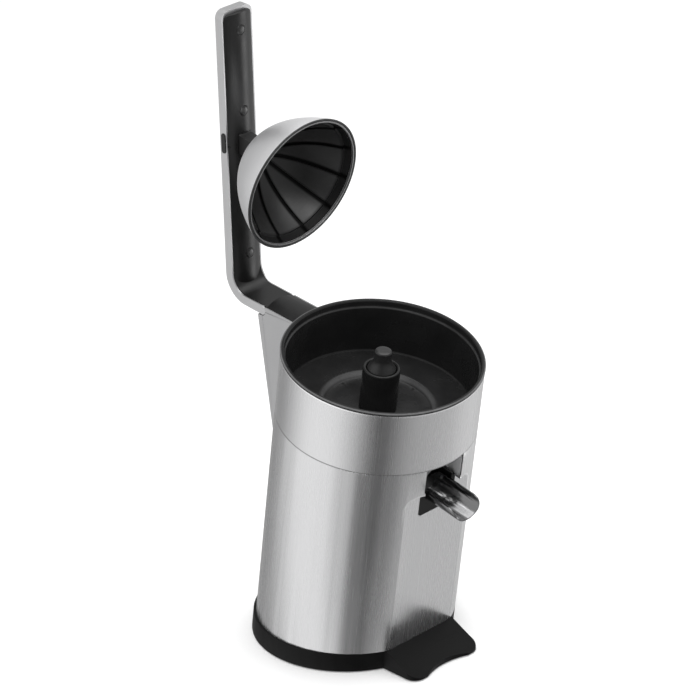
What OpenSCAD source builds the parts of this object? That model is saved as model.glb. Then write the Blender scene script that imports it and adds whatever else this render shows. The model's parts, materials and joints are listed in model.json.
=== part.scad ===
// Lever citrus press with a forward-leaning drum body, lift-off juice collector,
// tilting spout and an L-shaped lever that carries a press dome.
// Millimetres. +Z up, spout towards -Y, lever hinge towards +Y, mirror plane X = 0.
// Origin: on the table, under the middle of the whole outline. All parts are drawn with the
// foot of the leaning body axis at zero and then moved back by axis_y.
// Build note: solids only; every node is one named part.

/* [Body] */

// forward lean of the body axis, degrees
lean = 11.65; // [6:0.05:14]
// outer radius of the steel drum
body_r = 82.5; // [80:0.5:85]
// wall of the steel shells
wall = 1.2; // [1:0.1:1.6]
// height of the black base above the table
base_h = 18.5; // [16:0.5:22]
// distance of the seam between drum and collector along the body axis
seam_t = 211.5; // [208:0.5:214]
// distance of the collector rim along the body axis
rim_t = 271; // [268:0.5:274]
// distance of the flat front panel from the body axis
flat_n = 74.6; // [72:0.2:78]
// distance along the axis where the flat front panel ends
flat_top_t = 187; // [180:1:189]

/* [Base] */

// half width of the foot plate in front of the drum
plate_hw = 38; // [34:1:42]
// how far the foot plate reaches in front of the axis
plate_y = 112.6; // [108:0.2:116]
// radius of the hollow in the foot plate's front edge
plate_arc_r = 54; // [46:1:64]

/* [Lever] */

// width of the lever
arm_w = 32.3; // [30:0.1:33]
// depth of the lever's silver channel
arm_d = 7.9; // [7:0.1:9]
// sheet thickness of the silver channel
arm_wall = 1.2; // [1:0.1:1.4]
// how far the black front of the lever bulges
arm_bulge = 4.5; // [3:0.5:6]
// straight length of the long leg
arm_len = 231; // [215:1:240]
// lean of the long leg, degrees
arm_lean = 2.4; // [1:0.1:4]
// rise of the short leg, degrees
short_rise = 6.28; // [4:0.01:8]
// outer corner radius of the lever
corner_r = 23.2; // [20:0.1:26]
// distance of the hinge pin behind the axis foot
hinge_y = 71; // [69:0.5:73]
// height of the hinge pin
hinge_z = 273.6; // [272:0.2:275]
// radius of the hinge pin
pin_r = 2.2; // [1.8:0.1:2.6]

/* [Press dome] */

// outer radius of the dome at its rim
dome_r = 58.3; // [54:0.1:62]
// depth of the dome from rim to apex
dome_h = 55.5; // [50:0.5:58]
// height of the dome rim's centre at rest
dome_z = 391.6; // [388:0.2:395]
// distance of the dome rim's centre behind the axis foot
dome_y = 28.6; // [26:0.2:31]
// how far the dome faces downwards at rest, degrees
dome_tip = 14; // [10:1:18]
// number of grooves pressed into the dome's lining
dome_grooves = 12; // [8:1:16]

/* [Collector and spout] */

// outer radius of the hub tube in the bowl
hub_r = 15.3; // [14:0.1:17]
// level of the hub tube's top along the body axis
hub_t = 258; // [254:1:262]
// level of the bowl floor along the body axis
floor_t = 224; // [222:1:230]
// outer radius of the half-round spout
spout_r = 15.2; // [12:0.1:16]
// level of the spout's top edges along the body axis
spout_t = 186.5; // [185:0.5:188]
// how far the spout reaches from the body axis
spout_n = 110; // [104:1:114]

/* [Drive] */

// teeth of the large gear
gear_teeth = 40; // [40:4:40]
// teeth of the pinion
pinion_teeth = 12; // [12:4:12]
// gear module
gear_mod = 1.5; // [1.5:0.1:1.5]
// radius of the drive spindle
spindle_r = 4; // [3.5:0.1:4.5]
// level of the top of the spindle cap
cap_t = 276; // [274:1:278]

/* [Output] */

// which node to build, or "all"

/* [Hidden] */

$fn = 96;
run = 0.05;
gap = 0.35;
axis_y = 15.96;
bend_steps = 24;
short_len = (89.3 - hinge_y) / cos(short_rise) + corner_r * tan(short_rise);
plug_spots = [213, 143, 16];
deck_t = 196;
spout_c = spout_t + 1.2;
mouth_r = 9;
bezel_hw = 19.1;
plug_r = 4.4;
bay_hw = 20.6;
bay_n = 55;
mesh_d = gear_mod * (gear_teeth + pinion_teeth) / 2;
corner_y = 89.3;
corner_z = 295;
arm_hw = arm_w / 2;
col_hw = 16.8;
col_wall = 1.4;
lug_r = 3.2;
ear_r = 4.2;
panel_hw = 36.2;
panel_r = 12;
cover_y = hinge_y - 5.65;
pivot_y = 101.2;
pivot_z = 409.6;
button_z = 412.3;
button_y = 103.4;
foot_xy = [[-52, -49.3], [52, -49.3], [-56, 38.8], [56, 38.8]];
post_xn = [[-52, -46.5], [52, -46.5], [-56, 40], [56, 40]];
col_screw_t = [150, 188];

// ---------- helpers ----------

// puts the outline's middle over the origin
module placed() {
  translate([0, axis_y, 0]) children();
}

// frame that leans with the body: local Z runs along the body axis
module leaned() {
  rotate([lean, 0, 0]) children();
}

// everything above a level of the world frame
module above(z) {
  translate([-200, -200, z]) cube([400, 400, 700]);
}

// ring from r0 to r1 between two levels
module ring(r0, r1, t0, t1) {
  translate([0, 0, t0])
    difference() {
      cylinder(r = r1, h = t1 - t0);
      translate([0, 0, -1]) cylinder(r = r0, h = t1 - t0 + 2);
    }
}

// bar along X, centred
module xbar(r, len) {
  rotate([0, 90, 0]) cylinder(r = r, h = len, center = true);
}

// rectangle with rounded corners
module rounded(w, h, r) {
  union() {
    square([w - 2 * r, h], center = true);
    square([w, h - 2 * r], center = true);
    for (sx = [-1, 1])
      for (sy = [-1, 1])
        translate([sx * (w / 2 - r), sy * (h / 2 - r)]) circle(r = r, $fn = 48);
  }
}

// drum solid with the flat front panel taken off; the panel's top corners are rounded
module drum(r, flat, t0, t1, grow) {
  cr = panel_r + grow;
  top = flat_top_t + grow;
  hw = panel_hw + grow;
  difference() {
    translate([0, 0, t0]) cylinder(r = r, h = t1 - t0, $fn = 180);
    translate([0, -flat, 0]) rotate([90, 0, 0]) linear_extrude(height = 60) union() {
      translate([-hw, t0 - 1]) square([2 * hw, top - cr - t0 + 1]);
      translate([-hw + cr, t0 - 1]) square([2 * (hw - cr), top - t0 + 1]);
      for (s = [-1, 1]) translate([s * (hw - cr), top - cr]) circle(r = cr);
    }
  }
}

// the lever's L path in side view: d is the depth from its back face forwards, l the distance
// from the bend along the long or the short leg, a the angle round the bend
function path_long(d, l) = [
  corner_y + (corner_r - d) * cos(arm_lean) - l * sin(arm_lean),
  corner_z + (corner_r - d) * sin(arm_lean) + l * cos(arm_lean)
];
function path_bend(d, a) = [corner_y + (corner_r - d) * sin(a), corner_z - (corner_r - d) * cos(a)];
function path_short(d, l) = [
  corner_y + (corner_r - d) * sin(short_rise) - l * cos(short_rise),
  corner_z - (corner_r - d) * cos(short_rise) - l * sin(short_rise)
];
function bend_angle(i) = short_rise + (90 + arm_lean - short_rise) * i / bend_steps;
// L-shaped strip between two depths
module l_strip(d0, d1, long_l, short_l) {
  polygon(concat(
    [path_short(d0, short_l)],
    [for (i = [0:bend_steps]) path_bend(d0, bend_angle(i))],
    [path_long(d0, long_l), path_long(d1, long_l)],
    [for (i = [bend_steps:-1:0]) path_bend(d1, bend_angle(i))],
    [path_short(d1, short_l)]
  ));
}
// stand on the long leg's back face, Z along the leg
module on_long() {
  p = path_long(0, 0);
  translate([0, p[0], p[1]]) rotate([arm_lean, 0, 0]) children();
}
// stand on the short leg's under face, Z along the leg towards the hinge, Y upwards
module on_short() {
  p = path_short(0, 0);
  translate([0, p[0], p[1]]) rotate([90 + short_rise, 0, 0]) children();
}
// section of the black lining: a bulged front on a hollow back
module liner_section(hw) {
  rr = (hw * hw + arm_bulge * arm_bulge) / (2 * arm_bulge);
  difference() {
    intersection() {
      translate([0, arm_d + arm_bulge - rr]) circle(r = rr, $fn = 160);
      translate([-hw, arm_wall + 0.3]) square([2 * hw, 20]);
    }
    translate([-hw + 1.8, 0]) square([2 * hw - 3.6, arm_d - 0.4]);
  }
}
// front outline of the long leg with rounded top corners
module leg_outline(inset, drop = 0) {
  hw = arm_hw - inset;
  top = arm_len - inset - drop;
  r = 7 - inset;
  n = 12;
  on_long() translate([0, 30, 0]) rotate([90, 0, 0])
    linear_extrude(height = 130) polygon(concat(
      [[-hw - 2, -60], [hw + 2, -60], [hw + 2, top - r - 0.8]],
      [for (i = [0:n]) let (a = 4 + 82 * i / n) [hw - r + r * cos(a), top - r + r * sin(a)]],
      [for (i = [n:-1:0]) let (a = 4 + 82 * i / n) [-hw + r - r * cos(a), top - r + r * sin(a)]],
      [[-hw - 2, top - r - 0.8]]
    ));
}
// width-wise prism of a side view
module side_extrude(hw) {
  translate([-hw, 0, 0]) rotate([90, 0, 90]) linear_extrude(height = 2 * hw) children();
}

// ---------- base ----------

// side view of the foot plate's top
function plate_top(y) = 3.0 + (base_h - 3.0) * pow(min(1, max(0, plate_y - y) / (plate_y - 80)), 1.1);

module base() {
  color([0.07, 0.07, 0.075])
    difference() {
      union() {
        intersection() {
          translate([0, 1.5, 0]) leaned() translate([0, 0, -40])
            cylinder(r = body_r + 1.2, h = 100, $fn = 180);
          translate([-120, -120, 1.2]) cube([240, 240, base_h - 1.2]);
          side_extrude(120) polygon(concat([[120, 0], [-120, 0], [-120, 3]], plate_line(), [[120, base_h]]));
        }
        foot_plate();
      }
      // inside of the tray, solid under the flat panel
      intersection() {
        translate([0, 1.5, 0]) leaned() intersection() {
          translate([0, 0, -40]) cylinder(r = body_r - 2, h = 100, $fn = 180);
          translate([-100, -flat_n + 1.2, -60]) cube([200, 200, 200]);
        }
        above(4.2);
      }
      // screw holes and recesses for the feet
      for (p = foot_xy) translate([p[0], p[1], 0]) {
        cylinder(r = 8.05, h = 2.6);
        cylinder(r = 1.9, h = 10);
      }
      // cord outlet at the back
      translate([0, 70, 10.6]) rotate([-90, 0, 0]) cylinder(r = 5.05, h = 40);
    }
}
// points of the foot plate's top from its front edge back to the drum
function plate_line() = [for (i = [0:14]) let (y = plate_y - (plate_y - 80) * i / 14) [-y, plate_top(y)]];

module foot_plate() {
  intersection() {
    side_extrude(plate_hw) polygon(concat([[-70, 1.2], [-plate_y, 1.2]], plate_line(), [[-70, base_h]]));
    difference() {
      translate([0, -plate_y / 2 - 10, -1]) linear_extrude(height = 40)
        rounded(2 * plate_hw, plate_y - 20, 10);
      translate([0, -plate_y + 5.2 - plate_arc_r, -2])
        cylinder(r = plate_arc_r, h = 50, $fn = 160);
    }
  }
}
module feet() {
  color([0.12, 0.12, 0.12])
    for (p = foot_xy) translate([p[0], p[1], 0])
      difference() {
        cylinder(r = 8, h = 2.6);
        translate([0, 0, -1]) cylinder(r = 3.6, h = 5);
      }
}
module base_screws() {
  color([0.6, 0.6, 0.62])
    for (p = foot_xy) translate([p[0], p[1], 1]) {
      cylinder(r = 3.3, h = 1.6);
      cylinder(r = 1.5, h = 14);
    }
}
module cord_gland() {
  color([0.1, 0.1, 0.1])
    translate([0, 79, 10.6]) rotate([-90, 0, 0])
      difference() {
        union() {
          cylinder(r = 5, h = 8);
          translate([0, 0, 7.6]) cylinder(r = 6.4, h = 2.4);
        }
        translate([0, 0, -1]) cylinder(r = 3.1, h = 20);
      }
}

// ---------- drum body ----------

module window_cut() {
  // wide upper part in the full drum, narrower lower part in the flat panel
  translate([0, -50, flat_top_t + wall + 40]) rotate([90, 0, 0]) linear_extrude(height = 50)
    rounded(2 * bay_hw, 80, 3.4);
  translate([0, -50, 179]) rotate([90, 0, 0]) linear_extrude(height = 50)
    rounded(2 * bezel_hw + 0.6, 32, 3.4);
}
module body_shell() {
  color([0.72, 0.72, 0.73])
    intersection() {
      leaned() difference() {
        drum(body_r, flat_n, 0, seam_t - 0.3, 0);
        drum(body_r - wall, flat_n - wall, -40, seam_t + 5, wall);
        window_cut();
        for (t = col_screw_t) translate([0, 0, t]) rotate([-90, 0, 0]) cylinder(r = 1.65, h = 100);
      }
      above(base_h + 0.05);
    }
}
module spout_bay() {
  // open-topped pocket behind the window that keeps juice out of the drive
  t0 = 161.6;
  color([0.62, 0.62, 0.63])
    leaned() difference() {
      union() {
        translate([-bay_hw - 0.9, -73.2, t0])
          cube([2 * bay_hw + 1.8, 73.2 - bay_n, deck_t - t0 + 12]);
        translate([-bay_hw - 0.9, -78.2, flat_top_t + wall + 0.3])
          cube([2 * bay_hw + 1.8, 10, deck_t + 12 - flat_top_t - wall - 0.3]);
      }
      translate([-bay_hw + 0.2, -90, t0 + 1.2])
        cube([2 * bay_hw - 0.4, 90 - bay_n - 1.2, 60]);
    }
}

// ---------- drive ----------

module chassis() {
  color([0.16, 0.16, 0.17])
    difference() {
      union() {
        leaned() {
          difference() {
            translate([0, 0, deck_t]) cylinder(r = 78.5, h = 3.5, $fn = 160);
            translate([-bay_hw - 1.4, -90, deck_t - 1]) cube([2 * bay_hw + 2.8, 36, 10]);
          }
          translate([0, 0, deck_t + 3]) cylinder(r = 11.8, h = hub_t - 4 - deck_t - 3);
        }
        intersection() {
          leaned() for (p = post_xn) translate([p[0], p[1], -30]) cylinder(r = 5.5, h = deck_t + 31);
          above(4.4);
        }
      }
      leaned() {
        translate([0, 0, deck_t - 1]) cylinder(r = 5.2, h = 80);
        translate([0, 0, hub_t - 18]) cylinder(r = 7.02, h = 40);
        for (p = deck_holes()) translate([p[0], p[1], deck_t - 1]) cylinder(r = 1.7, h = 10);
      }
      // the posts stand beside the base screws
      for (p = foot_xy) translate([p[0], p[1], 0]) cylinder(r = 1.55, h = 17);
    }
}
function deck_holes() = [[-36.5, -10], [36.5, -10], [-34, 62], [34, 62]];
module deck_screws() {
  color([0.6, 0.6, 0.62])
    leaned() for (p = deck_holes()) translate([p[0], p[1], 0]) {
      translate([0, 0, deck_t + 3.6]) cylinder(r = 3.2, h = 2);
      translate([0, 0, deck_t - 10]) cylinder(r = 1.6, h = 14);
    }
}
module motor_plate() {
  color([0.5, 0.5, 0.5])
    leaned() difference() {
      union() {
        translate([-42, -16, 160]) cube([84, 82, 4]);
        for (p = deck_holes()) translate([p[0], p[1], 164]) cylinder(r = 4.6, h = deck_t - 164.1);
      }
      translate([0, 0, 150]) cylinder(r = 7.02, h = 30);
      translate([0, mesh_d, 150]) cylinder(r = 10, h = 30);
      for (p = deck_holes()) translate([p[0], p[1], deck_t - 12]) cylinder(r = 1.65, h = 20);
    }
}
module motor_can() {
  color([0.45, 0.45, 0.47])
    leaned() translate([0, mesh_d, 0]) difference() {
      union() {
        translate([0, 0, 92]) cylinder(r = 30, h = 60);
        translate([0, 0, 152]) cylinder(r = 9.8, h = 9);
      }
      translate([0, 0, 88]) cylinder(r = 2.55, h = 90);
    }
}
module motor_fan() {
  color([0.85, 0.85, 0.82])
    leaned() translate([0, mesh_d, 0]) {
      difference() {
        union() {
          translate([0, 0, 78]) cylinder(r = 6, h = 10);
          for (a = [0:45:315]) rotate(a) translate([4, -0.8, 79]) cube([20, 1.6, 8]);
        }
        translate([0, 0, 70]) cylinder(r = 2.52, h = 30);
      }
    }
}
module motor_shaft() {
  color([0.7, 0.7, 0.72])
    leaned() translate([0, mesh_d, 76]) cylinder(r = 2.5, h = 112);
}
// spur gear outline with straight-sided teeth and running backlash
module gear_2d(teeth) {
  pr = gear_mod * teeth / 2;
  ro = pr + 0.92 * gear_mod;
  ri = pr - 1.15 * gear_mod;
  pitch = 360 / teeth;
  union() {
    circle(r = ri, $fn = 4 * teeth);
    for (i = [0:teeth - 1]) rotate(i * pitch) polygon([
      [ri - 0.6, -0.86 * gear_mod], [pr, -0.68 * gear_mod], [ro, -0.34 * gear_mod],
      [ro, 0.34 * gear_mod], [pr, 0.68 * gear_mod], [ri - 0.6, 0.86 * gear_mod]
    ]);
  }
}
module pinion() {
  color([0.75, 0.68, 0.45])
    leaned() translate([0, mesh_d, 172]) rotate(90 + 180 / pinion_teeth) difference() {
      linear_extrude(height = 14) gear_2d(pinion_teeth);
      translate([0, 0, -1]) cylinder(r = 2.52, h = 20);
    }
}
module drive_gear() {
  color([0.9, 0.88, 0.8])
    leaned() translate([0, 0, 174]) rotate(90) difference() {
      union() {
        linear_extrude(height = 10) gear_2d(gear_teeth);
        translate([0, 0, 10]) cylinder(r = 9, h = 4);
      }
      translate([0, 0, -1]) cylinder(r = spindle_r + 0.02, h = 20);
      for (a = [0:60:300]) rotate(a) translate([17, 0, -1]) cylinder(r = 5.5, h = 20);
    }
}
module spindle() {
  color([0.75, 0.75, 0.77])
    leaned() translate([0, 0, 157]) cylinder(r = spindle_r, h = cap_t - 11 - 157);
}
module spindle_cap() {
  // drive dog that the squeezing cone drops onto
  color([0.2, 0.2, 0.21])
    leaned() difference() {
      rotate_extrude() polygon([
        [0, hub_t - 2], [11.6, hub_t - 2], [11.6, hub_t + 0.8], [8, cap_t - 11.4], [7, cap_t - 9],
        [7, cap_t - 1.6], [6.4, cap_t - 0.7], [5.2, cap_t - 0.2], [3.2, cap_t], [0, cap_t]
      ]);
      translate([0, 0, hub_t - 10]) cylinder(r = spindle_r + 0.02, h = cap_t - 11 - hub_t + 10.1);
    }
}
module bush(t0, h) {
  leaned() difference() {
    translate([0, 0, t0]) cylinder(r = 7, h = h);
    translate([0, 0, t0 - 1]) cylinder(r = spindle_r + run, h = h + 2);
  }
}
module lower_bush() {
  color([0.72, 0.55, 0.3]) bush(160, 6);
}
module upper_bush() {
  color([0.72, 0.55, 0.3]) bush(hub_t - 17.9, 10);
}
module shaft_seal() {
  color([0.25, 0.25, 0.25])
    leaned() difference() {
      translate([0, 0, hub_t - 7.8]) cylinder(r = 7, h = 3.4);
      translate([0, 0, hub_t - 10]) cylinder(r = spindle_r + 0.08, h = 10);
    }
}

// ---------- hinge column ----------

function short_top(y) = corner_z - (corner_r - arm_d) / cos(short_rise)
  - (corner_y - y) * tan(short_rise);

module column_side(inset) {
  y_in = 10;
  top_y = 75.7 - inset;
  polygon([
    [top_y, 269.1 - inset], [62.2 - inset, 107 + 6 * inset], [60 - inset, 92 + 12 * inset],
    [y_in, 92 + 12 * inset], [y_in, short_top(y_in)], [66.2 - inset, short_top(66.2)],
    [hinge_y, 268.9 - inset]
  ]);
}
module column() {
  color([0.7, 0.7, 0.71])
    difference() {
      union() {
        difference() {
          side_extrude(col_hw) column_side(0);
          side_extrude(col_hw - col_wall) union() {
            column_side(col_wall);
            translate([30, 262]) square([42.9, 40]);
          }
        }
        // web that is screwed to the drum
        intersection() {
          side_extrude(col_hw - 0.5) column_side(0.5);
          leaned() ring(body_r - 1, body_r + gap + 2.4, 110, 215);
        }
      }
      leaned() cylinder(r = body_r + gap, h = 330, $fn = 180);
      leaned() for (t = col_screw_t) translate([0, 0, t]) rotate([-90, 0, 0]) cylinder(r = 1.65, h = 88);
      translate([0, hinge_y, hinge_z]) xbar(ear_r + 0.5, 40);
    }
}
module column_screws() {
  color([0.6, 0.6, 0.62])
    leaned() for (t = col_screw_t) translate([0, 0, t]) rotate([-90, 0, 0]) {
      translate([0, 0, body_r - wall - 2.3]) cylinder(r = 3, h = 2);
      translate([0, 0, body_r - wall - 0.4]) cylinder(r = 1.6, h = wall + gap + 4);
    }
}
module hinge_bracket() {
  // cast cradle inside the column: two lugs carry the pin
  color([0.1, 0.1, 0.105])
    difference() {
      union() {
        for (s = [-1, 1]) translate([s * 11.6, 0, 0]) {
          translate([0, hinge_y, hinge_z]) xbar(lug_r, 5.8);
          translate([-2.9, hinge_y - 2.8, 250]) cube([5.8, 4, hinge_z - 250]);
        }
        translate([-14.5, 58, 246]) cube([29, 13.8, 12]);
      }
      translate([0, hinge_y, hinge_z]) xbar(pin_r + 0.02, 60);
      leaned() cylinder(r = body_r + gap, h = 330, $fn = 180);
    }
}
module hinge_cover() {
  // crowned like the lever's front
  hw = col_hw - col_wall - 0.1;
  rise = 4.0;
  rr = (hw * hw + rise * rise) / (2 * rise);
  color([0.09, 0.09, 0.095])
    difference() {
      intersection() {
        side_extrude(hw) polygon([
          [20, short_top(20) - 3], [20, short_top(20) + 6],
          [cover_y, short_top(cover_y) + 6], [cover_y, short_top(cover_y) - 3]
        ]);
        on_short() translate([0, arm_d + rise - rr, short_len - 10]) cylinder(r = rr, h = 80, $fn = 240);
      }
      leaned() cylinder(r = body_r + gap, h = 330, $fn = 180);
      translate([0, hinge_y, hinge_z]) xbar(6.6, 40);
    }
}
module hinge_pin() {
  color([0.75, 0.75, 0.77]) translate([0, hinge_y, hinge_z]) xbar(pin_r, 29.5);
}
module microswitch() {
  color([0.12, 0.12, 0.13])
    union() {
      translate([-3.2, 56, 225]) cube([6.4, 10, 20]);
      translate([-2, 57, 244]) cube([4, 1.2, 1.9]);
    }
}

// ---------- juice collector ----------

module juice_bowl() {
  color([0.06, 0.06, 0.065])
    leaned() difference() {
      union() {
        rotate_extrude($fn = 180) polygon([
          [hub_r, floor_t - 3.4], [42.6, floor_t - 3.8], [44, floor_t - 3.2], [46.6, floor_t - 0.7],
          [47.6, floor_t - 0.1], [49, floor_t], [76.2, floor_t - 0.6], [77.2, floor_t + 0.6],
          [77.9, rim_t - 6.4], [79, rim_t - 5.4], [79.3, rim_t - 1],
          [80.2, rim_t], [82.4, rim_t], [82.8, rim_t - 0.5],
          [82.8, rim_t - 2.2], [81.1, rim_t - 2.2], [81.1, seam_t - 6], [78.6, seam_t - 6],
          [78.6, floor_t - 8.5], [52, floor_t - 8.5], [50, floor_t - 6.5], [hub_r, floor_t - 6]
        ]);
        ring(hub_r - 2.8, hub_r, floor_t - 12, hub_t);
        rotate_extrude() translate([hub_r - 1.4, hub_t]) circle(r = 1.4, $fn = 32);
      }
      // outlet over the chute
      translate([-11, -74, floor_t - 20]) cube([22, 14, 30]);
      // notch in the skirt above the spout bay
      translate([-bay_hw - 1.6, -90, seam_t - 10]) cube([2 * bay_hw + 3.2, 38, 11.4]);
    }
}
module collector_band() {
  color([0.74, 0.74, 0.75])
    leaned() difference() {
      ring(body_r - wall, body_r, seam_t, rim_t - 2.3);
    }
}
module chute() {
  side = spout_r + 0.35;
  color([0.08, 0.08, 0.085])
    leaned() difference() {
      union() {
        // bezel block that the spout lies in, flush with the flat panel
        translate([0, -56.6, 177.2]) rotate([90, 0, 0])
          linear_extrude(height = flat_n - 0.3 - 56.6) rounded(2 * bezel_hw, 27.8, 3.1);
        // duct from the bowl's outlet
        translate([-13, -72, 189]) cube([26, 15.4, floor_t - 8.6 - 189]);
      }
      translate([-11, -70, 170.6]) cube([22, 12, 60]);
      // room for the spout, open at the top
      translate([0, -57.8, spout_c]) rotate([90, 0, 0]) cylinder(r = side, h = 60);
      translate([-side, -72.3, 169.6]) cube([2 * side, 14.5, 18]);
      translate([0, -66, spout_t - 3]) xbar(1.52, 34.2);
      // open front above the spout
      translate([-side, -120, spout_t]) cube([2 * side, 62.2, 2.5]);
      translate([-side, -120, spout_t]) cube([2 * side, 47.7, 12]);
    }
}
module spout_pins() {
  color([0.75, 0.75, 0.77])
    leaned() for (s = [-1, 1]) translate([s * 15.2, -66, spout_t - 3]) xbar(1.5, 3.6);
}
module spout() {
  color([0.8, 0.8, 0.82])
    leaned() difference() {
      intersection() {
        translate([0, -60, spout_c]) rotate([90, 0, 0]) cylinder(r = spout_r, h = spout_n - 60);
        // side view with the mouth's upper corners rounded
        side_extrude(30) union() {
          translate([-spout_n, spout_t - 40]) square([spout_n - 60, 40 - mouth_r]);
          translate([-spout_n + mouth_r, spout_t - 40]) square([spout_n - 60 - mouth_r, 40]);
          translate([-spout_n + mouth_r, spout_t - mouth_r]) circle(r = mouth_r);
        }
      }
      translate([0, -61.4, spout_c]) rotate([90, 0, 0]) cylinder(r = spout_r - 1.2, h = 70);
      translate([0, -66, spout_t - 3]) xbar(1.55, 60);
    }
}

// ---------- lever ----------

module arm_shell() {
  inner = arm_hw - arm_wall;
  color([0.74, 0.74, 0.75])
    difference() {
      intersection() {
        side_extrude(arm_hw) union() {
          l_strip(0, arm_d, arm_len, short_len);
          translate([hinge_y, hinge_z]) circle(r = ear_r);
        }
        leg_outline(0);
      }
      intersection() {
        side_extrude(inner) l_strip(arm_wall, 23, arm_len + 5, short_len + 20);
        leg_outline(arm_wall, 2.2);
      }
      side_extrude(inner) polygon([
        path_short(-5, short_len - 6.4), path_short(30, short_len - 6.4),
        path_short(30, short_len + 20), path_short(-5, short_len + 20)
      ]);
      translate([0, hinge_y, hinge_z]) xbar(pin_r + run, 29.9);
      knuckle_place() translate([0, 0, -1]) cylinder(r = 1.6, h = 2.6);
      button_place() translate([0, 0, -3]) linear_extrude(height = 6) rounded(17.6, 5.2, 2.55);
    }
}
module button_place() {
  translate([-arm_hw, button_y, button_z]) rotate([arm_lean, 0, 0]) rotate([0, 90, 0]) children();
}
module arm_liner() {
  hw = arm_hw - arm_wall - 0.1;
  color([0.08, 0.08, 0.085])
    difference() {
      union() {
        // the bulged front runs down into the bend
        intersection() {
          on_long() translate([0, 0, -24]) linear_extrude(height = arm_len + 24)
            mirror([0, 1]) liner_section(hw);
          side_extrude(hw) l_strip(arm_wall + 0.5, 22, arm_len + 5, 20);
          leg_outline(arm_wall + 0.1, 2.2);
        }
        // bend and short leg, closed over the hinge
        difference() {
          side_extrude(hw - 0.1) l_strip(arm_wall + 0.5, arm_d + 0.3, 7, short_len + 4.6);
          translate([0, hinge_y, hinge_z]) xbar(lug_r + 0.3, 60);
          translate([-30, hinge_y - 30, hinge_z - 20]) cube([60, 30, 22.6]);
          translate([-30, hinge_y - 1, hinge_z - 20]) cube([60, 3.6, 20]);
        }
        // cheeks that carry the dome axle
        for (s = [-1, 1]) translate([s * 8.3, pivot_y, pivot_z]) union() {
          xbar(4.6, 2.6);
          translate([-1.3, -4, -4.6]) cube([2.6, 4, 9.2]);
        }
      }
      // round pocket for the dome's tongue
      translate([0, pivot_y, pivot_z]) xbar(11, 13.6);
      translate([0, pivot_y, pivot_z]) xbar(2.02, 60);
      for (p = plug_spots) plug_place(p) translate([0, 0, -6]) cylinder(r = plug_r + 0.05, h = 12);
      // window behind the release button
      button_place() translate([0, 0, 0]) linear_extrude(height = 4.6) rounded(17.8, 5.4, 2.6);
      // room for the hinge knuckle
      on_short() translate([-8.5, -3, -4]) cube([17, 9.3, 60]);
    }
}
module plug_place(p) {
  on_long() translate([0, -arm_d - arm_bulge, p]) rotate([90, 0, 0]) children();
}
module liner_plugs() {
  color([0.14, 0.14, 0.145])
    for (p = plug_spots) plug_place(p) rotate_extrude() polygon([
      [0, -2], [plug_r, -2], [plug_r, -0.6], [plug_r - 0.4, -0.1], [3, 0.3], [1.6, 0.5], [0, 0.55]
    ]);
}
module arm_knuckle() {
  // tongue that joins the lever to the hinge pin
  color([0.35, 0.35, 0.36])
    difference() {
      union() {
        translate([0, hinge_y, hinge_z]) xbar(lug_r, 16.6);
        on_short() translate([-8.3, 1.4, 0]) cube([16.6, 4.7, short_len]);
      }
      translate([0, hinge_y, hinge_z]) xbar(pin_r + run, 60);
      knuckle_place() cylinder(r = 1.55, h = 12);
    }
}
module knuckle_place() {
  for (l = [3, 9]) on_short() translate([0, 0, l]) rotate([-90, 0, 0]) children();
}
module knuckle_screws() {
  color([0.6, 0.6, 0.62])
    knuckle_place() {
      translate([0, 0, -1.1]) cylinder(r = 2.6, h = 1.05);
      translate([0, 0, -0.1]) cylinder(r = 1.5, h = 5.6);
    }
}
module dome_axle() {
  color([0.75, 0.75, 0.77]) translate([0, pivot_y, pivot_z]) xbar(2, 19);
}
module release_button() {
  color([0.07, 0.07, 0.075])
    translate([-arm_hw - 0.7, button_y, button_z]) rotate([arm_lean, 0, 0]) rotate([0, 90, 0]) {
      linear_extrude(height = 4) rounded(17, 4.6, 2.2);
      cylinder(r = 1, h = 5, $fn = 32);
    }
}
module button_spring() {
  color([0.6, 0.6, 0.62])
    translate([-arm_hw + 3.4, button_y, button_z]) rotate([0, 90, 0]) ring(1.15, 1.75, 0, 3.1);
}

// ---------- press dome ----------

module dome_frame() {
  translate([0, dome_y, dome_z]) rotate([-90 + dome_tip, 0, 0]) children();
}
// outer profile radius of the dome at height h above its rim
function dome_rad(h, grow) = (dome_r * 1.1355 + grow)
  * sqrt(max(0, 1 - pow((h + 49.83) / (dome_h + 49.83 + grow), 2)));

module dome_solid(grow, h0, n = 40) {
  top = dome_h + grow;
  rotate_extrude($fn = 160) polygon(concat(
    [[0, h0]],
    [for (i = [0:n - 1]) let (h = h0 + (top - h0) * sin(90 * i / n)) [dome_rad(h, grow), h]],
    [[0, top]]
  ));
}
module dome_shell() {
  color([0.76, 0.76, 0.77])
    dome_frame() difference() {
      dome_solid(0, 0);
      // thin shell with a rolled lip that has a fine groove in its face
      difference() {
        dome_solid(-1.3, -2);
        ring(dome_r - 3.4, dome_r + 5, -3, 2.2);
      }
      ring(dome_r - 2.1, dome_r - 1.5, -3, 0.8);
      translate([0, 0, 30]) cylinder(r = 4.5, h = 60);
    }
}
module dome_liner() {
  color([0.07, 0.07, 0.075])
    dome_frame() difference() {
      dome_solid(-1.5, 2.4, 24);
      // smooth band inside the rim
      intersection() {
        dome_solid(-3.3, -2, 24);
        cylinder(r = 80, h = 7.6);
      }
      dome_solid(-4.8, 1, 24);
      // meridian grooves between raised pads
      for (i = [0:dome_grooves - 1]) rotate(i * 360 / dome_grooves + 15) intersection() {
        translate([0, -1.5, 6]) cube([80, 3, 60]);
        dome_solid(-2.9, 6, 24);
        ring(6, 80, 0, 60);
      }
      translate([0, 0, 30]) cylinder(r = 3, h = 60);
    }
}
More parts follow.
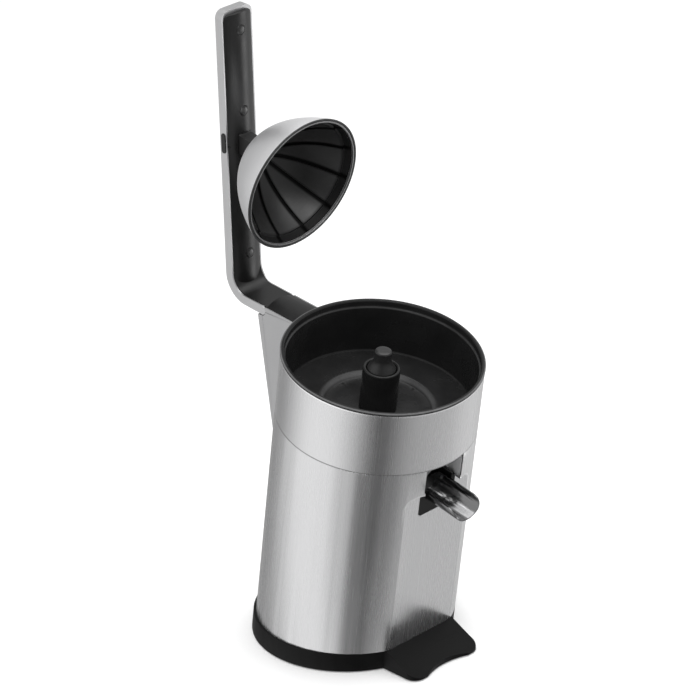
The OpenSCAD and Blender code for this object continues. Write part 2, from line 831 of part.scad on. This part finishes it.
module dome_socket() {
  // black socket between dome and lever; its round tongue turns on the axle in the lever's pocket
  tongue_r = 10.5;
  c = cos(dome_tip);
  q = sin(dome_tip);
  color([0.09, 0.09, 0.095])
    difference() {
      union() {
        // flange on the dome
        dome_frame() difference() {
          translate([0, 0, dome_h - 6]) cylinder(r = 11.5, h = 7);
          dome_solid(0.1, -2);
        }
        // neck and tongue
        difference() {
          side_extrude(6.3) union() {
            translate([pivot_y, pivot_z]) polygon(concat(
              [[0, 0]],
              [for (a = [116:4:256]) [tongue_r * cos(a), tongue_r * sin(a)]]
            ));
            polygon([
              [pivot_y, pivot_z],
              [pivot_y + tongue_r * cos(128), pivot_z + tongue_r * sin(128)],
              [dome_y + c * 52 - q * 10.5, dome_z + q * 52 + c * 10.5],
              [dome_y + c * 52 + q * 10.5, dome_z + q * 52 - c * 10.5],
              [pivot_y + tongue_r * cos(226), pivot_z + tongue_r * sin(226)]
            ]);
            translate([pivot_y, pivot_z]) circle(r = 4.2);
          }
          dome_frame() dome_solid(0.1, -2);
        }
      }
      translate([0, pivot_y, pivot_z]) xbar(2 + run, 60);
      dome_frame() translate([0, 0, 30]) cylinder(r = 1.8, h = 33);
    }
}
module dome_screw() {
  color([0.6, 0.6, 0.62])
    dome_frame() union() {
      translate([0, 0, dome_h - 5.2]) cylinder(r = 2.8, h = 2.6);
      translate([0, 0, dome_h - 5.2]) cylinder(r = 1.7, h = 11);
    }
}

// ---------- output ----------

placed() base();
placed() feet();
placed() base_screws();
placed() cord_gland();
placed() body_shell();
placed() spout_bay();
placed() chassis();
placed() deck_screws();
placed() motor_plate();
placed() motor_can();
placed() motor_fan();
placed() motor_shaft();
placed() pinion();
placed() drive_gear();
placed() spindle();
placed() spindle_cap();
placed() lower_bush();
placed() upper_bush();
placed() shaft_seal();
placed() column();
placed() column_screws();
placed() hinge_bracket();
placed() hinge_cover();
placed() hinge_pin();
placed() microswitch();
placed() juice_bowl();
placed() collector_band();
placed() chute();
placed() spout_pins();
placed() spout();
placed() arm_shell();
placed() arm_liner();
placed() arm_knuckle();
placed() knuckle_screws();
placed() liner_plugs();
placed() dome_axle();
placed() release_button();
placed() button_spring();
placed() dome_socket();
placed() dome_shell();
placed() dome_liner();
placed() dome_screw();
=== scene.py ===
import json
import math

import bpy
from mathutils import Matrix, Vector

# Looks of the lever citrus press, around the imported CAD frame. Metres; +Z up, spout towards -Y.

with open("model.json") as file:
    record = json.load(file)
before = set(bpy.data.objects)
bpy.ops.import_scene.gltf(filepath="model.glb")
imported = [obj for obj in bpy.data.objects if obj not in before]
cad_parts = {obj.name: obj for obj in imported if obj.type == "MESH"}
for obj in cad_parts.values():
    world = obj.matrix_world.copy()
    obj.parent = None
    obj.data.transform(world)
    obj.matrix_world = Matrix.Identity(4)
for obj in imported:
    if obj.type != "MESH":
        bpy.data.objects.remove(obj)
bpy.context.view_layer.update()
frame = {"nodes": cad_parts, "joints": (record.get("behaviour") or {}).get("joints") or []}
MM = 0.001


# ---------- places on the object ----------

# The body leans. In its own frame, which stands on FOOT, x runs across, n backwards, t up its axis.
spin = next(j for j in frame["joints"] if j["name"] == "spindle_spin")
AXIS = Vector(spin["axis"]).normalized()
on_axis = Vector(spin["pos_m"])
FOOT = on_axis - AXIS * (on_axis.z / AXIS.z)
LEAN_TURN = math.atan2(-AXIS.y, AXIS.z)

# The dome's own frame stands in the middle of its rim, with Z towards its apex.
DOME_TURN = math.radians(14 - 90)
DOME_RIM = Vector((0, 0.04456, 0.39160))
DOME_GROOVES = 12

# Each pair is a range over which one tone fades into the next.
SEAM_T = (0.2119, 0.2126)           # lower edge of the upper band
ROLL_T = (0.2671, 0.2677)           # start of the band's rolled top edge
PANEL_CORNER_X = 0.0242             # the flat front panel's upper corners: their middle and radius
PANEL_CORNER_T = 0.175
PANEL_CORNER_R = 0.012
# width of the painted highlight along the panel's upper edge
PANEL_HIGHLIGHT_WIDTH = (0.0003, 0.0013)
PANEL_FRONT_N = (-0.065, -0.060)    # the panel lies in front of this
PANEL_ARCH_T = (0.158, 0.172)       # and its painted edge highlight fades out below this
DUCT_T = (0.1908, 0.1914)           # the duct starts above the bezel plate
# where the bowl's painted highlights lie
BOWL_RIM_R = (0.0815, 0.0821)
BOWL_RIM_T = (0.2699, 0.2704)
BOWL_LEDGE_T = ((0.2640, 0.2648), (0.2658, 0.2668))
BOWL_STEP_R = ((0.0438, 0.0452), (0.0464, 0.0478))
BOWL_FLOOR_T = (0.2250, 0.2260)
GROOVE_REACH = (0.0008, 0.0030)     # from a groove's middle to the pad beside it, over which the painted shade fades
LINING_RIM_H = (0.0070, 0.0095)     # height above the dome's rim
# the dome's lip, where painted shade lies
LIP_TOP_H = (0.0008, 0.0012)
LIP_SIDE_R = (0.0560, 0.0563)


# ---------- node helpers ----------

class Nodes:
    """Short calls for the nodes of one node tree."""

    def __init__(self, nt):
        self.nt = nt

    def node(self, kind, **settings):
        n = self.nt.nodes.new(kind)
        for key, value in settings.items():
            setattr(n, key, value)
        return n

    def link(self, a, b):
        self.nt.links.new(a, b)

    def calc(self, operation, *values):
        """One Math node; a value is a number or a socket."""
        n = self.node("ShaderNodeMath", operation=operation)
        for socket, value in zip(n.inputs, values):
            if isinstance(value, (int, float)):
                socket.default_value = value
            else:
                self.link(value, socket)
        return n.outputs[0]

    def spread(self, value, low, high, start=0.3, stop=0.7, curve="LINEAR"):
        """low where value is at start or before it, high at stop or beyond."""
        n = self.node("ShaderNodeMapRange", interpolation_type=curve)
        n.inputs["From Min"].default_value = start
        n.inputs["From Max"].default_value = stop
        n.inputs["To Min"].default_value = low
        n.inputs["To Max"].default_value = high
        self.link(value, n.inputs["Value"])
        return n.outputs["Result"]


class Look(Nodes):
    """A material with its Principled shader."""

    def __init__(self, name, color, rough, metal=0.0):
        self.mat = bpy.data.materials.new(name)
        self.mat.use_nodes = True
        super().__init__(self.mat.node_tree)
        self.bsdf = next(n for n in self.nt.nodes if n.type == "BSDF_PRINCIPLED")
        self.set(base_color=(*color, 1), roughness=rough, metallic=metal)

    def set(self, **values):
        for key, value in values.items():
            label = key.replace("_", " ").title().replace("Ior", "IOR")
            self.bsdf.inputs[label].default_value = value

    def to(self, socket, value):
        self.link(value, self.bsdf.inputs[socket])

    def coords(self, scale=(1, 1, 1), lean=False):
        """Object coordinates, turned into the body's leaning frame if asked, then scaled."""
        out = self.node("ShaderNodeTexCoord").outputs["Object"]
        if lean:
            turn = self.node("ShaderNodeMapping", vector_type="POINT")
            turn.inputs["Rotation"].default_value = (-LEAN_TURN, 0, 0)
            self.link(out, turn.inputs["Vector"])
            out = turn.outputs["Vector"]
        size = self.node("ShaderNodeMapping", vector_type="POINT")
        size.inputs["Scale"].default_value = scale
        self.link(out, size.inputs["Vector"])
        return size.outputs["Vector"]

    def framed(self, origin, turn):
        """X, Y and Z sockets of a frame at origin, turned about X."""
        tex = self.node("ShaderNodeTexCoord")
        shift = self.node("ShaderNodeMapping", vector_type="TEXTURE")
        shift.inputs["Location"].default_value = origin
        shift.inputs["Rotation"].default_value = (turn, 0, 0)
        self.link(tex.outputs["Object"], shift.inputs["Vector"])
        split = self.node("ShaderNodeSeparateXYZ")
        self.link(shift.outputs["Vector"], split.inputs[0])
        return split.outputs

    def length(self, a, b):
        """Length of the plane vector (a, b)."""
        flat = self.node("ShaderNodeCombineXYZ")
        self.link(a, flat.inputs["X"])
        self.link(b, flat.inputs["Y"])
        n = self.node("ShaderNodeVectorMath", operation="LENGTH")
        self.link(flat.outputs[0], n.inputs[0])
        return n.outputs["Value"]

    def stripe(self, value, rise, fall):
        """1 where value lies between the ranges rise and fall, 0 outside both."""
        return self.calc("MULTIPLY", self.spread(value, 0.0, 1.0, *rise), self.spread(value, 1.0, 0.0, *fall))

    def noise(self, vector, scale, detail, rough):
        n = self.node("ShaderNodeTexNoise")
        n.inputs["Scale"].default_value = scale
        n.inputs["Detail"].default_value = detail
        n.inputs["Roughness"].default_value = rough
        self.link(vector, n.inputs["Vector"])
        return n.outputs["Fac"]

    def tint(self, value, dark, light):
        """Colour from dark to light over the middle of a noise's range."""
        n = self.node("ShaderNodeValToRGB")
        for element, place, color in zip(n.color_ramp.elements, (0.3, 0.7), (dark, light)):
            element.position = place
            element.color = (*color, 1)
        self.link(value, n.inputs["Fac"])
        return n.outputs["Color"]

    def bump(self, height, strength, distance):
        n = self.node("ShaderNodeBump")
        n.inputs["Strength"].default_value = strength
        n.inputs["Distance"].default_value = distance
        self.link(height, n.inputs["Height"])
        return n.outputs["Normal"]

    def shade(self, factor):
        """Multiply what already feeds the base colour by a factor."""
        old = self.bsdf.inputs["Base Color"].links[0].from_socket
        n = self.node("ShaderNodeVectorMath", operation="SCALE")
        self.link(old, n.inputs[0])
        self.link(factor, n.inputs["Scale"])
        self.to("Base Color", n.outputs["Vector"])

    def grained(self, grain, slow, dark, light, strength):
        """Bump from an even grain and tone from slow clouds; each noise is (scale, detail, roughness)."""
        fine = self.noise(self.coords(), *grain)
        clouds = self.noise(self.coords(), *slow)
        self.to("Base Color", self.tint(clouds, dark, light))
        self.to("Normal", self.bump(fine, strength, 0.06 * MM))
        return fine, clouds


def grey(v):
    """A grey, very slightly cool."""
    return (v, v, v * 1.01)


# ---------- metals ----------

def brushed(name, tone, rough):
    """Sheet brushed along the body's axis: streaks, slow cloudiness and faint smudges."""
    m = Look(name, grey(tone), rough, 0.93)
    streaks = m.noise(m.coords((1400, 1400, 7), lean=True), 1.0, 5.0, 0.7)
    clouds = m.noise(m.coords((22, 22, 9), lean=True), 1.0, 3.0, 0.5)
    m.to("Base Color", m.tint(streaks, grey(tone * 0.965), grey(tone * 1.03)))
    lines = m.spread(streaks, rough - 0.04, rough + 0.04)
    m.to("Roughness", m.calc("ADD", lines, m.spread(clouds, -0.02, 0.03)))
    m.to("Normal", m.bump(streaks, 0.05, 0.08 * MM))
    m.set(anisotropic=0.55)
    return m


def drum_steel(name, tone, rough):
    """Brushed drum with a painted highlight along the folded edge round the top of its flat front panel."""
    m = brushed(name, tone, rough)
    x, n, t = m.framed(FOOT, LEAN_TURN)
    side = m.calc("SUBTRACT", m.calc("ABSOLUTE", x), PANEL_CORNER_X)
    over = m.calc("SUBTRACT", t, PANEL_CORNER_T)
    reach = m.length(m.calc("MAXIMUM", side, 0.0), m.calc("MAXIMUM", over, 0.0))
    off = m.calc("ABSOLUTE", m.calc("SUBTRACT", reach, PANEL_CORNER_R))
    # painted highlight: up to 30% paler base colour along the panel's upper edge
    edge = m.spread(off, 0.30, 0.0, *PANEL_HIGHLIGHT_WIDTH)
    edge = m.calc("MULTIPLY", edge, m.spread(n, 1.0, 0.0, *PANEL_FRONT_N))
    edge = m.calc("MULTIPLY", edge, m.spread(t, 0.0, 1.0, *PANEL_ARCH_T))
    m.shade(m.calc("ADD", edge, 1.0))
    return m


def band_steel(name, tone, rough):
    """Brushed band; its rolled top edge is painted brighter, a painted highlight, and its seam is a fine dark
    line.
    """
    m = brushed(name, tone, rough)
    t = m.framed(FOOT, LEAN_TURN)["Z"]
    # painted highlight: the rolled top edge up to 1.34 times paler; the seam a dark line at half the tone
    m.shade(m.calc("MULTIPLY", m.spread(t, 1.0, 1.34, *ROLL_T), m.spread(t, 0.5, 1.0, *SEAM_T)))
    return m


def satin_metal(name, tone, rough, metal=1.0):
    """Satin lacquered or blasted metal with a fine even grain."""
    m = Look(name, grey(tone), rough, metal)
    dark, light = grey(tone * 0.97), grey(tone * 1.02)
    fine, _ = m.grained((900.0, 3.0, 0.6), (26.0, 3.0, 0.5), dark, light, 0.10)
    m.to("Roughness", m.spread(fine, rough - 0.05, rough + 0.06))
    return m


def dome_metal(name, tone, rough):
    """Satin dome with painted shade and dark reflection on the outer edge of its lip."""
    m = satin_metal(name, tone, rough)
    x, y, height = m.framed(DOME_RIM, DOME_TURN)
    # painted shade and dark reflection: the lip's face down to a third of the tone, its outer side to a tenth
    above = m.spread(height, 0.0, 1.0, *LIP_TOP_H)
    inside = m.spread(m.length(x, y), 0.34, 0.10, *LIP_SIDE_R)
    m.shade(m.calc("MAXIMUM", above, inside))
    return m


def polished(name, tone, rough):
    """Polished or turned metal with very fine lines across it."""
    m = Look(name, grey(tone), rough, 1.0)
    lines = m.noise(m.coords((30, 500, 500)), 1.0, 3.0, 0.6)
    clouds = m.noise(m.coords(), 40.0, 3.0, 0.5)
    m.to("Base Color", m.tint(clouds, grey(tone * 0.96), grey(tone)))
    m.to("Roughness", m.spread(lines, rough, rough + 0.06))
    m.to("Normal", m.bump(lines, 0.03, 0.04 * MM))
    return m


def coloured(name, color, rough, metal):
    """Plain coloured material with a fine grain, for the drive parts."""
    m = Look(name, color, rough, metal)
    dark = tuple(c * 0.85 for c in color)
    fine, _ = m.grained((600.0, 3.0, 0.6), (50.0, 3.0, 0.5), dark, color, 0.12)
    m.to("Roughness", m.spread(fine, rough - 0.05, rough + 0.08))
    return m


# ---------- blacks ----------

def plastic(name, tone, rough, grain_scale, strength):
    """Black plastic with its tone and bump set, and the clouds its roughness can follow."""
    m = Look(name, grey(tone), rough)
    dark, light = grey(tone * 0.8), grey(tone * 1.25)
    _, clouds = m.grained((grain_scale, 2.0, 0.5), (35.0, 4.0, 0.55), dark, light, strength)
    return m, clouds


def moulding(name, tone, rough, grain_scale=1400.0, strength=0.16, gloss=0.25):
    """Black moulded plastic: fine spark grain, slow flow variation, paler rubbed patches."""
    m, clouds = plastic(name, tone, rough, grain_scale, strength)
    m.to("Roughness", m.spread(clouds, rough - 0.05, rough + 0.07))
    m.set(specular_ior_level=gloss)
    return m


def dome_lining(name, tone, rough, gloss):
    """Black lining: painted shade in soft dark valleys at the grooves, lighter pads between them, a dull dark
    band at the rim.
    """
    m, _ = plastic(name, tone, rough, 1400.0, 0.10)
    x, y, height = m.framed(DOME_RIM, DOME_TURN)
    # pads counted round the dome; 20 more keep the count above zero and change nothing
    count = m.calc("MULTIPLY", m.calc("ARCTAN2", y, x), DOME_GROOVES / (2 * math.pi))
    cell = m.calc("FRACT", m.calc("ADD", count, 20.0))
    # distance from the nearest groove, along the circumference
    off = m.calc("ABSOLUTE", m.calc("SUBTRACT", cell, 0.5))
    dist = m.calc("MULTIPLY", m.calc("MULTIPLY", off, m.length(x, y)), 2 * math.pi / DOME_GROOVES)
    # painted shade: the base colour falls to a fifth towards each groove's middle
    pad = m.spread(dist, 0.2, 1.0, *GROOVE_REACH)
    both = m.calc("MULTIPLY", pad, m.spread(height, 0.3, 1.0, *LINING_RIM_H))
    m.shade(both)
    m.to("Specular IOR Level", m.calc("MULTIPLY", both, gloss))
    m.to("Roughness", m.spread(both, rough + 0.2, rough, 0.0, 1.0))
    return m


def bowl_black(name, tone, rough, gloss):
    """Glossy black of the bowl with painted highlights on its rim, its ledge and the step in its floor."""
    m = moulding(name, tone, rough, strength=0.05, gloss=gloss)
    x, n, t = m.framed(FOOT, LEAN_TURN)
    radius = m.length(x, n)
    # painted highlights: the rim's top up to seven times paler, the ledge 2.2 times, the floor step up to 3.6
    # times
    rim = m.calc("MULTIPLY", m.spread(radius, 0.0, 6.0, *BOWL_RIM_R), m.spread(t, 0.0, 1.0, *BOWL_RIM_T))
    ledge = m.calc("MULTIPLY", m.stripe(t, *BOWL_LEDGE_T), 1.2)
    step = m.calc("MULTIPLY", m.stripe(radius, *BOWL_STEP_R), m.spread(t, 2.6, 0.0, *BOWL_FLOOR_T))
    m.shade(m.calc("ADD", m.calc("ADD", rim, ledge), m.calc("ADD", step, 1.0)))
    return m


def bezel_black(name, tone, rough, gloss):
    """Black bezel plate; the duct behind it is the same plastic, painted a dark grey that stands in for the
    light in the pocket.
    """
    m = moulding(name, tone, rough, strength=0.06, gloss=gloss)
    t = m.framed(FOOT, LEAN_TURN)["Z"]
    # painted light: the duct above the plate is up to 26 times paler
    m.shade(m.spread(t, 1.0, 26.0, *DUCT_T))
    return m


# ---------- looks of the pieces ----------

LOOKS = {
    "drum": drum_steel("brushed_drum_steel", 0.74, 0.25),
    "band": band_steel("brushed_band_steel", 0.74, 0.25),
    "wall": satin_metal("brushed_window_wall", 0.75, 0.38, metal=0.0),
    "channel": satin_metal("satin_silver_channel", 0.56, 0.42),
    "dome": dome_metal("satin_dome", 0.92, 0.46),
    "column": satin_metal("satin_column", 0.48, 0.44),
    "chrome": polished("polished_spout_steel", 0.21, 0.14),
    "steel": polished("turned_steel", 0.55, 0.28),
    "base": moulding("base_black_moulding", 0.005, 0.46, gloss=0.1),
    "bowl": bowl_black("bowl_black_gloss", 0.018, 0.24, 0.17),
    "bezel": bezel_black("bezel_black", 0.006, 0.30, 0.12),
    "lining": dome_lining("dome_lining_black", 0.024, 0.36, 0.5),
    "front": moulding("lever_front_black", 0.010, 0.34, gloss=0.34),
    "cover": moulding("cover_black", 0.012, 0.46, gloss=0.3),
    "cap": moulding("cap_charcoal", 0.022, 0.30, gloss=0.35),
    "plug": moulding("plug_black", 0.012, 0.26, strength=0.05, gloss=0.5),
    "rubber": moulding("rubber_black", 0.012, 0.75, 700.0, 0.3),
    "frame": moulding("inner_frame_grey", 0.05, 0.55),
    "nylon": coloured("natural_nylon", (0.72, 0.70, 0.62), 0.5, 0.0),
    "bronze": coloured("sintered_bronze", (0.55, 0.36, 0.17), 0.4, 1.0),
}
NODE_LOOK = {
    "base": "base", "feet": "rubber", "base_screws": "steel", "cord_gland": "rubber",
    "body_shell": "drum", "spout_bay": "wall", "chassis": "frame", "deck_screws": "steel",
    "motor_plate": "steel", "motor_can": "steel", "motor_fan": "nylon", "motor_shaft": "steel",
    "pinion": "bronze", "drive_gear": "nylon", "spindle": "steel", "spindle_cap": "cap",
    "lower_bush": "bronze", "upper_bush": "bronze", "shaft_seal": "rubber", "column": "column",
    "column_screws": "steel", "hinge_bracket": "cover", "hinge_cover": "cover",
    "hinge_pin": "steel", "microswitch": "frame", "juice_bowl": "bowl",
    "collector_band": "band", "chute": "bezel", "spout_pins": "steel", "spout": "chrome",
    "arm_shell": "channel", "arm_liner": "front", "arm_knuckle": "cover",
    "knuckle_screws": "steel", "liner_plugs": "plug", "dome_axle": "steel",
    "release_button": "front", "button_spring": "steel", "dome_socket": "cover",
    "dome_shell": "dome", "dome_liner": "lining", "dome_screw": "steel",
}
for name, look in NODE_LOOK.items():
    materials = frame["nodes"][name].data.materials
    materials.clear()
    materials.append(LOOKS[look].mat)


def soften(name, width):
    """Small rounded edges, width in mm, on a CAD node."""
    obj = frame["nodes"][name]
    weld = obj.modifiers.new("weld", "WELD")
    weld.merge_threshold = 0.000002
    bevel = obj.modifiers.new("edges", "BEVEL")
    bevel.width = width * MM
    bevel.segments = 3
    bevel.limit_method = "ANGLE"
    bevel.angle_limit = math.radians(30)
    bevel.harden_normals = True


for name, width in {
    "base": 0.9, "column": 0.7, "hinge_cover": 0.5, "arm_shell": 0.4, "dome_socket": 0.6,
    "release_button": 0.9, "spindle_cap": 0.5, "chute": 0.5, "body_shell": 0.3,
    "spout": 0.4, "juice_bowl": 0.3, "dome_shell": 0.3,
}.items():
    soften(name, width)


# ---------- studio ----------

# the viewer's direction from the object, in degrees anticlockwise from +X
VIEWER = 227.9
# brightness of the surroundings, by degrees from straight behind the viewer, anticlockwise from above
BANDS = [
    (-180, 0.50), (-168, 0.45), (-150, 0.27), (-136, 0.29), (-123, 0.44), (-111, 0.66),
    (-98, 0.90), (-82, 1.10), (-68, 1.14), (-55, 0.96), (-43, 0.74), (-32, 0.52),
    (-22, 0.23), (-12, 0.00), (-1, 0.01), (11, 0.15), (26, 0.34), (44, 0.43),
    (66, 0.46), (100, 0.56), (120, 0.76), (150, 0.72), (180, 0.50),
]
# one bright spot, low on the right, that the glossy blacks catch: its bearing, height and brightness
GLOW_BEARING = math.radians(VIEWER + 97)
GLOW_HEIGHT = math.radians(-22)
GLOW_LEVEL = 3.6


def studio():
    """White surroundings for the eye; soft bands of light and shade round the object for gloss."""
    world = bpy.data.worlds.new("studio")
    bpy.context.scene.world = world
    world.use_nodes = True
    w = Nodes(world.node_tree)
    w.nt.nodes.clear()
    direction = w.node("ShaderNodeTexCoord").outputs["Generated"]
    split = w.node("ShaderNodeSeparateXYZ")
    w.link(direction, split.inputs[0])
    x, y, z = split.outputs

    turn = w.calc("ARCTAN2", y, x)
    share = w.calc("MULTIPLY_ADD", turn, 1 / (2 * math.pi), 0.5 - (VIEWER / 360 - 1))
    ramp = w.node("ShaderNodeValToRGB")
    ramp.color_ramp.interpolation = "B_SPLINE"
    elements = ramp.color_ramp.elements
    for k, (angle, level) in enumerate(BANDS):
        position = 0.5 + angle / 360
        if k < 2:
            element = elements[k]
            element.position = position
        else:
            element = elements.new(position)
        element.color = (level, level, level, 1)
    w.link(w.calc("FRACT", share), ramp.inputs["Fac"])

    # the bands give way to an even light overhead
    mix = w.node("ShaderNodeMix", data_type="RGBA")
    w.link(w.spread(z, 0.0, 1.0, 0.45, 0.9, "SMOOTHSTEP"), mix.inputs["Factor"])
    w.link(ramp.outputs["Color"], mix.inputs["A"])
    mix.inputs["B"].default_value = (0.9, 0.9, 0.9, 1)

    flat = math.cos(GLOW_HEIGHT)
    facing = w.node("ShaderNodeVectorMath", operation="DOT_PRODUCT")
    facing.inputs[1].default_value = (
        math.cos(GLOW_BEARING) * flat, math.sin(GLOW_BEARING) * flat, math.sin(GLOW_HEIGHT))
    w.link(direction, facing.inputs[0])
    glow = w.spread(facing.outputs["Value"], 0.0, GLOW_LEVEL, 0.975, 0.996, "SMOOTHSTEP")
    total = w.node("ShaderNodeVectorMath", operation="ADD")
    w.link(mix.outputs["Result"], total.inputs[0])
    w.link(glow, total.inputs[1])

    soft = w.node("ShaderNodeBackground")
    w.link(total.outputs["Vector"], soft.inputs["Color"])
    plain = w.node("ShaderNodeBackground")
    plain.inputs["Color"].default_value = (1, 1, 1, 1)
    either = w.node("ShaderNodeMixShader")
    w.link(w.node("ShaderNodeLightPath").outputs["Is Camera Ray"], either.inputs[0])
    w.link(soft.outputs[0], either.inputs[1])
    w.link(plain.outputs[0], either.inputs[2])
    w.link(either.outputs[0], w.node("ShaderNodeOutputWorld").inputs["Surface"])


def soft_box(name, place, target, size, power):
    light = bpy.data.lights.new(name, "AREA")
    light.shape = "RECTANGLE"
    light.size, light.size_y = size
    light.energy = power
    obj = bpy.data.objects.new(name, light)
    bpy.context.scene.collection.objects.link(obj)
    obj.location = place
    obj.rotation_mode = "QUATERNION"
    obj.rotation_quaternion = (Vector(target) - Vector(place)).to_track_quat("-Z", "Y")


def floor(half):
    """A pale square floor that no glossy surface mirrors; half is half its side."""
    m = Look("pale_floor", (0.92, 0.92, 0.92), 0.9)
    m.to("Base Color", m.tint(m.noise(m.coords(), 3.0, 2.0, 0.6), (0.93,) * 3, (0.95,) * 3))
    m.set(emission_color=(1, 1, 1, 1), emission_strength=0.16)
    mesh = bpy.data.meshes.new("floor")
    corners = [(-half, -half, 0), (half, -half, 0), (half, half, 0), (-half, half, 0)]
    mesh.from_pydata(corners, [], [(0, 1, 2, 3)])
    mesh.materials.append(m.mat)
    obj = bpy.data.objects.new("floor", mesh)
    bpy.context.scene.collection.objects.link(obj)
    obj.visible_glossy = False


def camera(place, right, up, lens):
    data = bpy.data.cameras.new("camera")
    data.sensor_width = 36.0
    data.lens = lens
    data.clip_start, data.clip_end = 0.1, 50.0
    obj = bpy.data.objects.new("camera", data)
    bpy.context.scene.collection.objects.link(obj)
    back = right.cross(up)
    obj.matrix_world = Matrix((
        (right.x, up.x, back.x, place.x),
        (right.y, up.y, back.y, place.y),
        (right.z, up.z, back.z, place.z),
        (0, 0, 0, 1),
    ))
    bpy.context.scene.camera = obj


studio()
soft_box("top_soft_box", (0.3, -0.3, 1.9), (0, 0, 0.2), (1.8, 1.8), 22)
soft_box("key_soft_box", (-0.58, -0.64, 1.9), (0, 0, 0.22), (0.6, 0.6), 6)
floor(6.0)
# the camera was fitted to the outlines of the photographed object
camera(
    place=Vector((-1.8695, -2.0669, 1.5790)),
    right=Vector((0.72327, -0.68848, -0.05379)),
    up=Vector((0.33092, 0.27718, 0.90205)),
    lens=196.57,
)
bpy.context.scene.view_settings.view_transform = "Standard"
bpy.context.scene.view_settings.look = "None"
